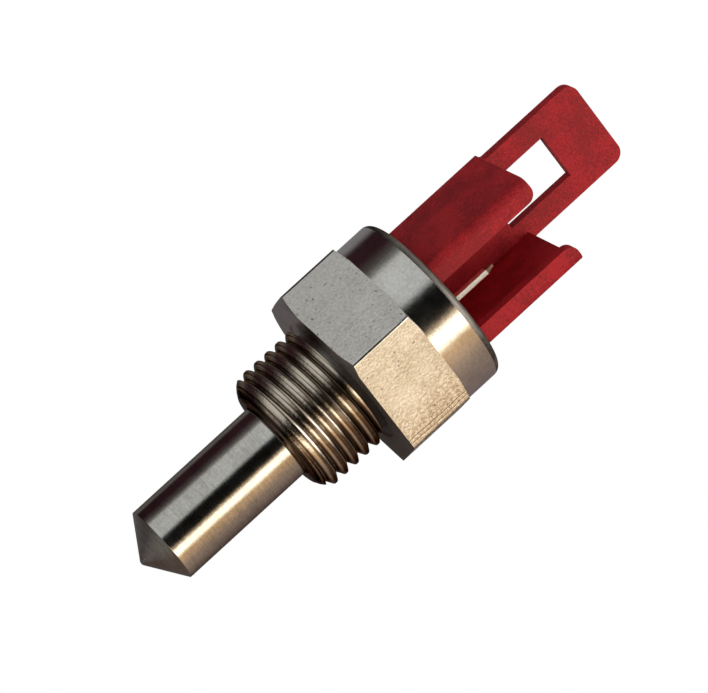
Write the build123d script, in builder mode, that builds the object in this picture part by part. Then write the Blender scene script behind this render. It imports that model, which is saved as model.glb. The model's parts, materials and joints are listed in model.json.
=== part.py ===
from build123d import *
import math
import os

os.makedirs("parts", exist_ok=True)

# Screw-in immersion temperature probe with a two-pin plug, in millimetres.
# z = 0 is the hexagon's seat face, which bears on the boss that the thread is screwed into.
# -Z points along the probe to its tip, and +Z to the plug. The plug's open side faces -Y.

# ---- Probe well ----
probe_radius = 3.0
thread_end_z = -6.1  # end face of the thread, where the thin probe starts
probe_length = 10.89  # cylindrical part of the probe
tip_slope = 33.8  # degrees between the cone and a plane square to the axis
tip_nose_radius = 0.4
root_fillet = 0.3  # between the probe and the thread's end face
well_radius = 2.3  # blind bore
drill_slope = 31.0  # degrees, a 118 degree drill point
well_bottom_z = -16.6  # where the bore turns into the drill point

# ---- Thread M10 x 1, right-hand ----
thread_radius = 5.0
thread_pitch = 1.0
thread_depth = 0.58
thread_flank_angle = 30.0
root_flat = 0.08
lead_in_radius = 4.05
lead_in_length = 0.95
relief_radius = 4.35
relief_width = 0.45
groove_overrun = 0.05  # how far the cutting profile stands outside the crests

# ---- Hexagon ----
across_flats = 14.0
hex_height = 5.43
hex_edge_radius = 0.3  # of the drawn bar
hex_turn = 2.8  # degrees, because the plug is crimped in without regard to the flats
seat_chamfer_radius = 7.6
seat_chamfer_slope = 20.0
seat_chamfer_offset = 0.5  # the seat side was faced a little off centre
seat_chamfer_bearing = -25.4  # degrees from +X, the side that stays sharp
top_chamfer_radius = 7.4
top_chamfer_slope = 17.0
seat_recess_radius = 5.15  # undercut in the seat face, so a washer clears the crests
seat_recess_depth = 0.12

# ---- Crimped collar ----
collar_radius = 6.9
rim_z = 8.92
shoulder_radius = 0.65  # rounded by the crimping tool
lip_inner_radius = 5.82
lip_thickness = 0.5
pocket_radius = 6.35  # holds the plug's flange
pocket_floor_z = 5.15
cavity_radius = 4.75  # holds the plug's spigot and the resin
cavity_floor_z = 1.2

# ---- Plug housing ----
flange_radius = 6.3
flange_top_z = rim_z - lip_thickness
seal_height = 0.9  # squeezed height of the O-ring
flange_bottom_z = pocket_floor_z + seal_height
spigot_radius = 4.6
spigot_bottom_z = 3.2
shroud_half_width = 3.9
shroud_front_y = -4.05
shroud_back_y = 4.3
shroud_top_z = 18.23
shroud_corner_radius = 0.75
back_thickness = 0.9
side_thickness = 0.95
lip_front_thickness = 0.9
front_gap = 4.48  # between the two front lips
lip_tip_radius = 0.8
low_wall_z = 17.77  # top of the right wall behind its lip
low_wall_front_y = -1.75
low_wall_rise_y = -2.35  # where the slope up to the lip ends
mouth_chamfer = 0.25
loop_width = 7.1
loop_top_z = 26.77
loop_corner_radius = 0.9
loop_root_radius = 0.35
window_width = 3.67
window_bottom_z = 16.95
window_top_z = 22.68

# ---- O-ring ----
seal_mean_radius = 5.5
seal_width = 1.1
seal_corner_radius = 0.4

# ---- Terminals ----
terminal_pitch = 2.5
terminal_width = 0.4
terminal_depth = 0.64
terminal_top_z = 13.55
terminal_bottom_z = 2.1
terminal_taper_length = 0.65
terminal_taper_angle = 11.0

# ---- Thermistor and leads ----
chip_z = -15.3
chip_side = 0.9
chip_thickness = 0.35
electrode_thickness = 0.04
wire_radius = 0.125
wire_bottom_z = chip_z - 0.2
wire_top_z = 2.05
spread_start_z = -12.5  # the two leads part here
spread_end_z = -9.5  # and run in line with the terminals from here
wire_bend_radius = 3.0
chip_solder_radius = 0.36
solder_film = 0.03  # between the electrode and the wire
bead_radius = 1.15
bead_bottom_z = -16.5
bead_top_z = -13.4
sleeve_radius = 0.3
sleeve_bottom_z = -13.2
sleeve_top_z = 1.35
joint_radius = 0.5
joint_height = 1.3
joint_z = 2.1

# ---- Liner and fills ----
liner_outer_radius = 2.25
liner_inner_radius = 2.0
liner_bottom_z = -16.3
compound_top_z = -12.6

# ---- Worked-out values ----
cone_start_z = thread_end_z - probe_length
nose_run = tip_nose_radius * math.sin(math.radians(tip_slope))
nose_rise = tip_nose_radius * (1 - math.cos(math.radians(tip_slope)))
cone_rise = (probe_radius - nose_run) * math.tan(math.radians(tip_slope))
tip_z = cone_start_z - cone_rise - nose_rise
drill_depth = well_radius * math.tan(math.radians(drill_slope))
corner_radius = across_flats / math.sqrt(3)
clear_radius = corner_radius + 1
wire_x = chip_thickness / 2 + electrode_thickness + solder_film + wire_radius
terminal_x = terminal_pitch / 2
sides = {"right": 1, "left": -1}


def chamfer_rise(face_radius, slope):
    """How far along the axis a corner chamfer has risen at the clearance radius."""
    return (clear_radius - face_radius) * math.tan(math.radians(slope))


def lead_points(side, bottom_z, top_z):
    """The corners of a lead's path, from the chip up to its terminal."""
    return [
        (side * wire_x, 0, bottom_z),
        (side * wire_x, 0, spread_start_z),
        (side * terminal_x, 0, spread_end_z),
        (side * terminal_x, 0, top_z),
    ]


# ---- Sensor body: nickel-plated brass, one turned piece ----
seat_axis = Axis(
    (
        seat_chamfer_offset * math.cos(math.radians(seat_chamfer_bearing)),
        seat_chamfer_offset * math.sin(math.radians(seat_chamfer_bearing)),
        0,
    ),
    (0, 0, 1),
)
thread_turns = math.ceil(-(thread_end_z + relief_width) / thread_pitch)
with BuildPart() as sensor_body:
    # Hexagon with its corners turned off at both ends
    with BuildSketch() as bar_section:
        RegularPolygon(across_flats / 2, 6, major_radius=False, rotation=hex_turn)
        fillet(bar_section.vertices(), hex_edge_radius)
    extrude(amount=hex_height)
    with BuildSketch(Plane(origin=seat_axis.position, x_dir=(1, 0, 0), z_dir=(0, -1, 0))):
        with BuildLine():
            Polyline(
                (0, 0),
                (seat_chamfer_radius, 0),
                (clear_radius, chamfer_rise(seat_chamfer_radius, seat_chamfer_slope)),
                (clear_radius, hex_height),
                (0, hex_height),
                close=True,
            )
        make_face()
    revolve(axis=seat_axis, mode=Mode.INTERSECT)
    with BuildSketch(Plane.XZ):
        with BuildLine():
            Polyline(
                (0, 0),
                (clear_radius, 0),
                (clear_radius, hex_height - chamfer_rise(top_chamfer_radius, top_chamfer_slope)),
                (top_chamfer_radius, hex_height),
                (0, hex_height),
                close=True,
            )
        make_face()
    revolve(axis=Axis.Z, mode=Mode.INTERSECT)
    # Collar with the shoulder that the crimping tool rounds
    with BuildSketch(Plane.XZ):
        with BuildLine():
            Line((0, hex_height), (collar_radius, hex_height))
            Line((collar_radius, hex_height), (collar_radius, rim_z - shoulder_radius))
            JernArc((collar_radius, rim_z - shoulder_radius), (0, 1), shoulder_radius, 90)
            Line((collar_radius - shoulder_radius, rim_z), (0, rim_z))
            Line((0, rim_z), (0, hex_height))
        make_face()
    revolve(axis=Axis.Z)
    # Thread blank, probe and rounded conical tip
    with BuildSketch(Plane.XZ):
        with BuildLine():
            JernArc((0, tip_z), (1, 0), tip_nose_radius, tip_slope)
            Polyline(
                (nose_run, tip_z + nose_rise),
                (probe_radius, cone_start_z),
                (probe_radius, thread_end_z - root_fillet),
            )
            JernArc((probe_radius, thread_end_z - root_fillet), (0, 1), root_fillet, -90)
            Polyline(
                (probe_radius + root_fillet, thread_end_z),
                (lead_in_radius, thread_end_z),
                (thread_radius, thread_end_z + lead_in_length),
                (thread_radius, -relief_width),
                (relief_radius, -relief_width),
                (relief_radius, 0),
                (0, 0),
                (0, tip_z),
            )
        make_face()
    revolve(axis=Axis.Z)
    # Undercut in the seat face round the relief
    with BuildSketch(Plane.XZ):
        with Locations(((seat_recess_radius + relief_radius) / 2, seat_recess_depth / 2)):
            Rectangle(seat_recess_radius - relief_radius, seat_recess_depth)
    revolve(axis=Axis.Z, mode=Mode.SUBTRACT)
    # Thread groove, cut one turn at a time from the relief down to the lead-in
    root_radius = thread_radius - thread_depth
    reach = thread_depth + groove_overrun
    flare = reach * math.tan(math.radians(thread_flank_angle))
    for turn in range(thread_turns):
        with BuildLine() as groove_path:
            Helix(
                pitch=thread_pitch,
                height=thread_pitch,
                radius=root_radius,
                center=(0, 0, -relief_width - (turn + 1) * thread_pitch),
            )
        path_start = groove_path.line @ 0
        with BuildSketch(Plane(origin=path_start, x_dir=(1, 0, 0), z_dir=groove_path.line % 0)):
            with BuildLine():
                Polyline(
                    (0, -root_flat / 2),
                    (reach, -root_flat / 2 - flare),
                    (reach, root_flat / 2 + flare),
                    (0, root_flat / 2),
                    close=True,
                )
            make_face()
        sweep(path=groove_path.line, is_frenet=True, mode=Mode.SUBTRACT)
    # Blind well, resin cavity, flange pocket and the mouth inside the lip
    with BuildSketch(Plane.XZ):
        with BuildLine():
            Polyline(
                (0, well_bottom_z - drill_depth),
                (well_radius, well_bottom_z),
                (well_radius, cavity_floor_z),
                (cavity_radius, cavity_floor_z),
                (cavity_radius, pocket_floor_z),
                (pocket_radius, pocket_floor_z),
                (pocket_radius, flange_top_z),
                (lip_inner_radius, flange_top_z),
                (lip_inner_radius, rim_z),
                (0, rim_z),
                close=True,
            )
        make_face()
    revolve(axis=Axis.Z, mode=Mode.SUBTRACT)
sensor_body.part.label = "sensor_body"
export_step(sensor_body.part, "parts/sensor_body.step")

# ---- Terminals: tinned flat pins, moulded into the plug ----
terminals = {}
for name, side in sides.items():
    with BuildPart() as terminal:
        with BuildSketch(Plane.XY.offset(terminal_bottom_z)):
            with Locations((side * terminal_x, 0)):
                Rectangle(terminal_width, terminal_depth)
        extrude(amount=terminal_top_z - terminal_taper_length - terminal_bottom_z)
        extrude(
            terminal.faces().sort_by(Axis.Z)[-1],
            amount=terminal_taper_length,
            taper=terminal_taper_angle,
        )
    terminal.part.label = "terminal_" + name
    export_step(terminal.part, "parts/terminal_" + name + ".step")
    terminals[name] = terminal.part

# ---- Plug housing: red moulding with flange, open-fronted shroud and latch loop ----
with BuildPart() as connector_housing:
    with BuildSketch(Plane.XY.offset(flange_bottom_z)):
        Circle(flange_radius)
    extrude(amount=flange_top_z - flange_bottom_z)
    with BuildSketch(Plane.XY.offset(spigot_bottom_z)):
        Circle(spigot_radius)
    extrude(amount=flange_bottom_z - spigot_bottom_z)
    # Shroud: a C in plan, open to -Y
    shroud_depth = shroud_back_y - shroud_front_y
    shroud_middle_y = (shroud_back_y + shroud_front_y) / 2
    inner_back_y = shroud_back_y - back_thickness
    inner_front_y = shroud_front_y + lip_front_thickness
    with BuildSketch(Plane.XY.offset(flange_top_z)) as shroud_plan:
        with Locations((0, shroud_middle_y)):
            Rectangle(2 * shroud_half_width, shroud_depth)
        front_corners = shroud_plan.vertices().group_by(Axis.Y)[0]
        fillet(front_corners, shroud_corner_radius)
        with Locations((0, (inner_back_y + inner_front_y) / 2)):
            Rectangle(
                2 * (shroud_half_width - side_thickness),
                inner_back_y - inner_front_y,
                mode=Mode.SUBTRACT,
            )
        with Locations((0, shroud_front_y)):
            Rectangle(front_gap, 2 * lip_front_thickness, mode=Mode.SUBTRACT)
    extrude(amount=shroud_top_z - flange_top_z)
    # The right wall is lower behind its lip
    with BuildSketch(Plane.YZ.offset(shroud_half_width - side_thickness)):
        with BuildLine():
            Polyline(
                (low_wall_rise_y, shroud_top_z),
                (low_wall_front_y, low_wall_z),
                (shroud_back_y, low_wall_z),
                (shroud_back_y, shroud_top_z),
                close=True,
            )
        make_face()
    extrude(amount=side_thickness, mode=Mode.SUBTRACT)
    # Rounded inner corners at the top of the two front lips
    with BuildSketch(Plane.XZ.offset(-shroud_front_y)):
        for side in sides.values():
            with Locations((side * (front_gap + lip_tip_radius) / 2, shroud_top_z - lip_tip_radius / 2)):
                Rectangle(lip_tip_radius, lip_tip_radius)
            with Locations((side * (front_gap / 2 + lip_tip_radius), shroud_top_z - lip_tip_radius)):
                Circle(lip_tip_radius, mode=Mode.SUBTRACT)
    extrude(amount=-lip_front_thickness, mode=Mode.SUBTRACT)
    # Lead-in for the mating plug round the inside of the mouth
    with BuildSketch(Plane.XY.offset(shroud_top_z)):
        with Locations((0, (inner_back_y + inner_front_y) / 2)):
            Rectangle(
                2 * (shroud_half_width - side_thickness + mouth_chamfer),
                inner_back_y - inner_front_y + 2 * mouth_chamfer,
            )
    extrude(amount=-mouth_chamfer, taper=45, mode=Mode.SUBTRACT)
    # Latch loop: the back wall carried on upwards, with a window for the mating plug's catch
    with BuildSketch(Plane.XZ.offset(-shroud_back_y)) as loop_face:
        with Locations((0, (loop_top_z + flange_top_z) / 2)):
            Rectangle(loop_width, loop_top_z - flange_top_z)
        fillet(loop_face.vertices().group_by(Axis.Y)[-1], loop_corner_radius)
    extrude(amount=back_thickness)
    # Small fillets where the loop's sides meet the tops of the side walls
    with BuildSketch(Plane.XZ.offset(-shroud_back_y)):
        for side, root_z in ((1, low_wall_z), (-1, shroud_top_z)):
            with Locations((side * (loop_width + loop_root_radius) / 2, root_z + loop_root_radius / 2)):
                Rectangle(loop_root_radius, loop_root_radius)
            with Locations((side * (loop_width / 2 + loop_root_radius), root_z + loop_root_radius)):
                Circle(loop_root_radius, mode=Mode.SUBTRACT)
    extrude(amount=back_thickness)
    with BuildSketch(Plane.XZ.offset(-shroud_back_y)):
        with Locations((0, (window_top_z + window_bottom_z) / 2)):
            Rectangle(window_width, window_top_z - window_bottom_z)
    extrude(amount=back_thickness, mode=Mode.SUBTRACT)
    for terminal_part in terminals.values():
        add(terminal_part, mode=Mode.SUBTRACT)
connector_housing.part.label = "connector_housing"
export_step(connector_housing.part, "parts/connector_housing.step")

# ---- O-ring, squeezed between the flange and the pocket's floor ----
with BuildPart() as housing_seal:
    with BuildSketch(Plane.XZ):
        with Locations((seal_mean_radius, pocket_floor_z + seal_height / 2)):
            RectangleRounded(seal_width, seal_height, seal_corner_radius)
    revolve(axis=Axis.Z)
housing_seal.part.label = "housing_seal"
export_step(housing_seal.part, "parts/housing_seal.step")

# ---- Thermistor chip with its two silvered faces ----
with BuildPart() as thermistor_chip:
    with BuildSketch(Plane.XY.offset(chip_z - chip_side / 2)):
        Rectangle(chip_thickness, chip_side)
    extrude(amount=chip_side)
thermistor_chip.part.label = "thermistor_chip"
export_step(thermistor_chip.part, "parts/thermistor_chip.step")

# ---- Electrodes, leads, solder and sleeves: one set on each side ----
bead_contents = [thermistor_chip.part]
compound_contents = []
resin_contents = list(terminals.values())
for name, side in sides.items():
    with BuildPart() as electrode:
        with BuildSketch(Plane.XY.offset(chip_z - chip_side / 2)):
            with Locations((side * (chip_thickness + electrode_thickness) / 2, 0)):
                Rectangle(electrode_thickness, chip_side)
        extrude(amount=chip_side)
    electrode.part.label = "chip_electrode_" + name
    export_step(electrode.part, "parts/chip_electrode_" + name + ".step")

    with BuildPart() as lead_wire:
        with BuildLine() as wire_path:
            FilletPolyline(*lead_points(side, wire_bottom_z, wire_top_z), radius=wire_bend_radius)
        with BuildSketch(Plane(wire_path.line @ 0, z_dir=wire_path.line % 0)):
            Circle(wire_radius)
        sweep(path=wire_path.line)
    lead_wire.part.label = "lead_wire_" + name
    export_step(lead_wire.part, "parts/lead_wire_" + name + ".step")

    electrode_face = Plane.YZ.offset(side * (chip_thickness / 2 + electrode_thickness))
    with BuildPart() as chip_solder:
        with Locations(electrode_face.location * Location((0, chip_z, 0))):
            Sphere(chip_solder_radius)
        split(bisect_by=electrode_face, keep=Keep.TOP if side > 0 else Keep.BOTTOM)
        add(lead_wire.part, mode=Mode.SUBTRACT)
    chip_solder.part.label = "chip_solder_" + name
    export_step(chip_solder.part, "parts/chip_solder_" + name + ".step")

    with BuildPart() as lead_sleeve:
        with BuildLine() as sleeve_path:
            FilletPolyline(*lead_points(side, sleeve_bottom_z, sleeve_top_z), radius=wire_bend_radius)
        with BuildSketch(Plane(sleeve_path.line @ 0, z_dir=sleeve_path.line % 0)):
            Circle(sleeve_radius)
            Circle(wire_radius, mode=Mode.SUBTRACT)
        sweep(path=sleeve_path.line)
    lead_sleeve.part.label = "lead_sleeve_" + name
    export_step(lead_sleeve.part, "parts/lead_sleeve_" + name + ".step")

    with BuildPart() as terminal_solder:
        with BuildSketch(Plane.XZ):
            with Locations((side * terminal_x, joint_z)):
                Ellipse(joint_radius, joint_height / 2)
            with Locations((side * (terminal_x - joint_radius), joint_z)):
                Rectangle(2 * joint_radius, joint_height, mode=Mode.SUBTRACT)
        revolve(axis=Axis((side * terminal_x, 0, 0), (0, 0, 1)))
        add(terminals[name], mode=Mode.SUBTRACT)
        add(lead_wire.part, mode=Mode.SUBTRACT)
    terminal_solder.part.label = "terminal_solder_" + name
    export_step(terminal_solder.part, "parts/terminal_solder_" + name + ".step")

    bead_contents += [electrode.part, lead_wire.part, chip_solder.part]
    compound_contents += [lead_wire.part, lead_sleeve.part]
    resin_contents += [lead_wire.part, lead_sleeve.part, terminal_solder.part]

# ---- Resin bead moulded round the chip ----
with BuildPart() as bead_blank:
    with BuildSketch(Plane.XZ):
        with Locations((0, (bead_bottom_z + bead_top_z) / 2)):
            Ellipse(bead_radius, (bead_top_z - bead_bottom_z) / 2)
        with Locations((-bead_radius, (bead_bottom_z + bead_top_z) / 2)):
            Rectangle(2 * bead_radius, bead_top_z - bead_bottom_z, mode=Mode.SUBTRACT)
    revolve(axis=Axis.Z)
with BuildPart() as thermistor_bead:
    add(bead_blank.part)
    for piece in bead_contents:
        add(piece, mode=Mode.SUBTRACT)
thermistor_bead.part.label = "thermistor_bead"
export_step(thermistor_bead.part, "parts/thermistor_bead.step")

# ---- Insulating liner: a thin tube that stands in the well ----
with BuildPart() as insulating_liner:
    with BuildSketch(Plane.XY.offset(liner_bottom_z)):
        Circle(liner_outer_radius)
        Circle(liner_inner_radius, mode=Mode.SUBTRACT)
    extrude(amount=cavity_floor_z - liner_bottom_z)
insulating_liner.part.label = "insulating_liner"
export_step(insulating_liner.part, "parts/insulating_liner.step")

# ---- Heat-conducting fill: carries the water's heat from the tip to the bead ----
with BuildPart() as thermal_compound:
    with BuildSketch(Plane.XZ):
        with BuildLine():
            Polyline(
                (0, well_bottom_z - drill_depth),
                (well_radius, well_bottom_z),
                (well_radius, liner_bottom_z),
                (liner_inner_radius, liner_bottom_z),
                (liner_inner_radius, compound_top_z),
                (0, compound_top_z),
                close=True,
            )
        make_face()
    revolve(axis=Axis.Z)
    add(bead_blank.part, mode=Mode.SUBTRACT)
    for piece in compound_contents:
        add(piece, mode=Mode.SUBTRACT)
thermal_compound.part.label = "thermal_compound"
export_step(thermal_compound.part, "parts/thermal_compound.step")

# ---- Potting: resin between the cavity's floor and the plug's spigot ----
with BuildPart() as potting_plug:
    with BuildSketch(Plane.XY.offset(cavity_floor_z)):
        Circle(cavity_radius)
    extrude(amount=spigot_bottom_z - cavity_floor_z)
    for piece in resin_contents:
        add(piece, mode=Mode.SUBTRACT)
potting_plug.part.label = "potting_plug"
export_step(potting_plug.part, "parts/potting_plug.step")
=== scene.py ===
# %% [markdown]
# # A screw-in temperature probe
# The part is the immersion probe of a wall-hung boiler. A plated brass well goes into the water: conical
# tip, thin tube, fine thread, hexagon for the spanner and a collar crimped over a red plug. The CAD model
# gives every size and place, and this lesson makes it look turned, threaded, plated and moulded.

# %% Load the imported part
import json
import math

import bpy
from mathutils import Matrix, Vector

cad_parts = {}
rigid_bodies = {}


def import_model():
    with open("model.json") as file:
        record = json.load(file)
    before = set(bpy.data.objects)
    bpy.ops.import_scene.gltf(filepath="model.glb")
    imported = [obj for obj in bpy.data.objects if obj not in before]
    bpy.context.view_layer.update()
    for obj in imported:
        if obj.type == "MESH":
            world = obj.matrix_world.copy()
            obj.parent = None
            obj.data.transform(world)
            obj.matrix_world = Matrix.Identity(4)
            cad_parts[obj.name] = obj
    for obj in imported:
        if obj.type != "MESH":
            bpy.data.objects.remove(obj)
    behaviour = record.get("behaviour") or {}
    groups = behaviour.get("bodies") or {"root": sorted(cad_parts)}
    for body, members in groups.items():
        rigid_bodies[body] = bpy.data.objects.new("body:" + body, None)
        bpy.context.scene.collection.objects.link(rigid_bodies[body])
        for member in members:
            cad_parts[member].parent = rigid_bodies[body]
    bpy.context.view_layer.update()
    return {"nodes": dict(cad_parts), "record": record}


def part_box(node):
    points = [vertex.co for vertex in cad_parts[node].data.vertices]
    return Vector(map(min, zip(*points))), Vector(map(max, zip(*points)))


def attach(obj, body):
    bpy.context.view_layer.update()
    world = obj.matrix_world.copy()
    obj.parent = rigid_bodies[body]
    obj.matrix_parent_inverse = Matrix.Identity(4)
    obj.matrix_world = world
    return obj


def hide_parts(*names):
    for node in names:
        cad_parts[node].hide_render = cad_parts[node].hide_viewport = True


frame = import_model()
MM = 0.001
print("CAD nodes:", sorted(frame["nodes"]))

# %% [markdown]
# ## Sizes
# The part stands on its axis, with z = 0 at the hexagon's seat face. The overall heights are read from the
# CAD nodes, so they follow the model. The smaller sizes are the standard ones: an M10 x 1 thread, a hexagon
# 14 mm across flats and a 6 mm probe. Everything below is in millimetres until it reaches the mesh.

# %% Sizes in millimetres
body_low, body_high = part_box("sensor_body")
plug_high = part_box("connector_housing")[1]
pin_low, pin_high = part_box("terminal_right")
tip_z = body_low.z / MM
rim_z = body_high.z / MM
loop_top_z = plug_high.z / MM
pin_top_z = pin_high.z / MM
probe_radius = 3.0
cone_start_z = -16.99
thread_end_z = -6.1
thread_radius = 5.0
thread_pitch = 1.0
thread_depth = 0.58
relief_radius = 4.35
relief_width = 0.45
across_flats = 14.0
hex_height = 5.43
hex_turn = 2.8
collar_radius = 6.9
shoulder_radius = 0.65
print("tip, rim, pin and loop heights:", [round(z, 2) for z in (tip_z, rim_z, pin_top_z, loop_top_z)])

# %% [markdown]
# ## The camera
# The probe is looked at from a little below and from the left of the plug's open side, through a long lens,
# with the camera rolled so that the part lies across the picture with its tip at the lower left. The camera
# is placed from its bearing, its height angle and its distance to the seat face, and a small sideways step
# centres the part.

# %% Camera
view_bearing = math.radians(-25.4)
view_height = math.radians(-8.57)
view_roll = math.radians(47.59)
view_distance = 378.5
lens_mm = 276.2
sideways = -0.9
upwards = -2.41

toward_camera = Vector(
    (
        math.sin(view_bearing) * math.cos(view_height),
        -math.cos(view_bearing) * math.cos(view_height),
        math.sin(view_height),
    )
)
level_right = Vector((math.cos(view_bearing), math.sin(view_bearing), 0))
level_up = toward_camera.cross(level_right)
camera_right = level_right * math.cos(view_roll) + level_up * math.sin(view_roll)
camera_up = level_up * math.cos(view_roll) - level_right * math.sin(view_roll)
stand = toward_camera * view_distance - camera_right * sideways - camera_up * upwards
bpy.ops.object.camera_add(location=stand * MM)
camera = bpy.context.object
camera.name = "studio_camera"
camera.data.lens = lens_mm
camera.data.sensor_width = 36
camera.data.clip_start = 0.01
camera.rotation_mode = "QUATERNION"
turn = [list(axis) for axis in zip(camera_right, camera_up, toward_camera)]
camera.rotation_quaternion = Matrix(turn).to_quaternion()
bpy.context.scene.camera = camera
print("camera at", [round(v, 1) for v in stand], "mm")

# %% [markdown]
# ## Colours and nodes
# Colours are written as sRGB hex values, as a colour picker shows them, and turned to the linear values that
# the renderer works in. One small function adds a node, sets its values and joins its inputs, so each finish
# below reads as a short recipe.


# %% Helpers for colours and nodes
def colour(hex_value):
    """A linear colour with full opacity from an sRGB hex value such as 'c0c0c0'."""
    shares = [int(hex_value[i : i + 2], 16) / 255 for i in (0, 2, 4)]
    linear = [s / 12.92 if s <= 0.04045 else ((s + 0.055) / 1.055) ** 2.4 for s in shares]
    return (*linear, 1.0)


def add_node(tree, kind, settings=None, inputs=None):
    """Adds a node. A tuple of (node, output) in inputs is a link, and any other value is set."""
    node = tree.nodes.new(kind)
    for name, value in (settings or {}).items():
        setattr(node, name, value)
    for name, value in (inputs or {}).items():
        if isinstance(value, tuple) and isinstance(value[0], bpy.types.Node):
            tree.links.new(value[0].outputs[value[1]], node.inputs[name])
        else:
            node.inputs[name].default_value = value
    return node


def set_ramp(node, stops):
    """Gives a colour ramp its stops, each a place from 0 to 1 and a colour."""
    ramp = node.color_ramp
    while len(ramp.elements) < len(stops):
        ramp.elements.new(0.5)
    for element, (place, shade) in zip(ramp.elements, stops):
        element.position = place
        element.color = shade


def new_finish(name):
    """A material with an empty node tree but for its output."""
    material = bpy.data.materials.new(name)
    material.use_nodes = True
    material.node_tree.nodes.clear()
    return material, material.node_tree


print("white is", [round(v, 2) for v in colour("ffffff")])

# %% [markdown]
# ## Light
# Polished metal shows its surroundings, so the surroundings are the lighting. The probe stands in a white
# light tent. Around it, as seen from above, stand a warm lamp panel at the right, a black card behind the
# camera, a cool grey wall at the left, and a dark maroon curtain behind. Each turns into a band along the
# turned surfaces. A dark rail runs round above them, and draws a thin line along every upper edge. Overhead
# is a soft ceiling light, with a softbox below it that looks into the open side. A ramp that goes once round
# the horizon gives the walls, and the height gives the rest.

# %% Light tent
tent_strength = 2.6


def tent_stop(bearing, red, green, blue):
    """A ramp stop at a bearing in degrees from +X, with the brightness wanted in the tent."""
    return ((bearing + 180) / 360, (red / tent_strength, green / tent_strength, blue / tent_strength, 1.0))


world = bpy.data.worlds.new("light_tent")
bpy.context.scene.world = world
world.use_nodes = True
tent = world.node_tree
tent.nodes.clear()
facing = add_node(tent, "ShaderNodeTexCoord")
parts = add_node(tent, "ShaderNodeSeparateXYZ", inputs={"Vector": (facing, "Generated")})
bearing = add_node(tent, "ShaderNodeMath", {"operation": "ARCTAN2"}, {0: (parts, "Y"), 1: (parts, "X")})
place = add_node(
    tent,
    "ShaderNodeMapRange",
    inputs={"Value": (bearing, "Value"), "From Min": -math.pi, "From Max": math.pi},
)
wall = add_node(tent, "ShaderNodeValToRGB", inputs={"Fac": (place, "Result")})
grey_wall = (0.62, 0.65, 0.67)
wall_edge = (0.61, 0.62, 0.62)
black_card = (0.004, 0.004, 0.004)
lamp = (2.6, 2.45, 2.05)
curtain = (0.03, 0.012, 0.017)
back_wall = (0.22, 0.21, 0.22)
set_ramp(
    wall,
    [
        tent_stop(-180, *wall_edge),
        tent_stop(-172, 0.62, 0.64, 0.66),
        tent_stop(-152, *grey_wall),
        tent_stop(-134, *grey_wall),
        tent_stop(-126, *black_card),
        tent_stop(-93, *black_card),
        tent_stop(-86, 0.75, 0.53, 0.34),
        tent_stop(-80, *lamp),
        tent_stop(-67.5, *lamp),
        tent_stop(-58, 0.84, 0.55, 0.29),
        tent_stop(-46, 0.7, 0.47, 0.3),
        tent_stop(-26, 0.4, 0.3, 0.24),
        tent_stop(8, 0.25, 0.19, 0.17),
        tent_stop(50, 0.18, 0.14, 0.14),
        tent_stop(75, *back_wall),
        tent_stop(108, *back_wall),
        tent_stop(121, *curtain),
        tent_stop(150, *curtain),
        tent_stop(165, 0.08, 0.07, 0.07),
        tent_stop(174, 0.22, 0.22, 0.22),
        tent_stop(180, *wall_edge),
    ],
)
rail_shade = 0.06
ceiling_shade = 0.85
table_shade = 0.42
softbox_shade = 3.6
softbox_bearing = math.radians(-74)
softbox_height = math.radians(48)


def grey(brightness):
    """A plain grey of the tent, at the brightness wanted."""
    shade = brightness / tent_strength
    return (shade, shade, shade, 1.0)


# heights in the tent are the sine of the angle up, as the direction's Z gives it
rail_edge = add_node(
    tent,
    "ShaderNodeMapRange",
    {"interpolation_type": "SMOOTHSTEP"},
    {"Value": (parts, "Z"), "From Min": 0.4, "From Max": 0.5},
)
with_rail = add_node(
    tent,
    "ShaderNodeMix",
    {"data_type": "RGBA"},
    {"Factor": (rail_edge, "Result"), 6: (wall, "Color"), 7: grey(rail_shade)},
)
ceiling_edge = add_node(
    tent,
    "ShaderNodeMapRange",
    {"interpolation_type": "SMOOTHSTEP"},
    {"Value": (parts, "Z"), "From Min": 0.66, "From Max": 0.78},
)
dome = add_node(
    tent,
    "ShaderNodeMix",
    {"data_type": "RGBA"},
    {"Factor": (ceiling_edge, "Result"), 6: (with_rail, 2), 7: grey(ceiling_shade)},
)
downward = add_node(tent, "ShaderNodeMath", {"operation": "MULTIPLY"}, {0: (parts, "Z"), 1: -1.0})
table = add_node(
    tent,
    "ShaderNodeMapRange",
    {"interpolation_type": "SMOOTHSTEP"},
    {"Value": (downward, "Value"), "From Min": 0.88, "From Max": 0.97},
)
dome = add_node(
    tent,
    "ShaderNodeMix",
    {"data_type": "RGBA"},
    {"Factor": (table, "Result"), 6: (dome, 2), 7: grey(table_shade)},
)
toward_softbox = (
    math.cos(softbox_bearing) * math.cos(softbox_height),
    math.sin(softbox_bearing) * math.cos(softbox_height),
    math.sin(softbox_height),
)
nearness = add_node(
    tent, "ShaderNodeVectorMath", {"operation": "DOT_PRODUCT"}, {0: (facing, "Generated"), 1: toward_softbox}
)
within = add_node(
    tent,
    "ShaderNodeMapRange",
    {"interpolation_type": "SMOOTHSTEP"},
    {"Value": (nearness, "Value"), "From Min": 0.89, "From Max": 0.95},
)
dome = add_node(
    tent,
    "ShaderNodeMix",
    {"data_type": "RGBA"},
    {"Factor": (within, "Result"), 6: (dome, 2), 7: grey(softbox_shade)},
)
lit_tent = add_node(tent, "ShaderNodeBackground", inputs={"Color": (dome, 2), "Strength": tent_strength})
white_sheet = add_node(tent, "ShaderNodeBackground", inputs={"Color": (1.0, 1.0, 1.0, 1.0)})
sight = add_node(tent, "ShaderNodeLightPath")
both = add_node(
    tent,
    "ShaderNodeMixShader",
    inputs={"Fac": (sight, "Is Camera Ray"), 1: (lit_tent, 0), 2: (white_sheet, 0)},
)
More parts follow.
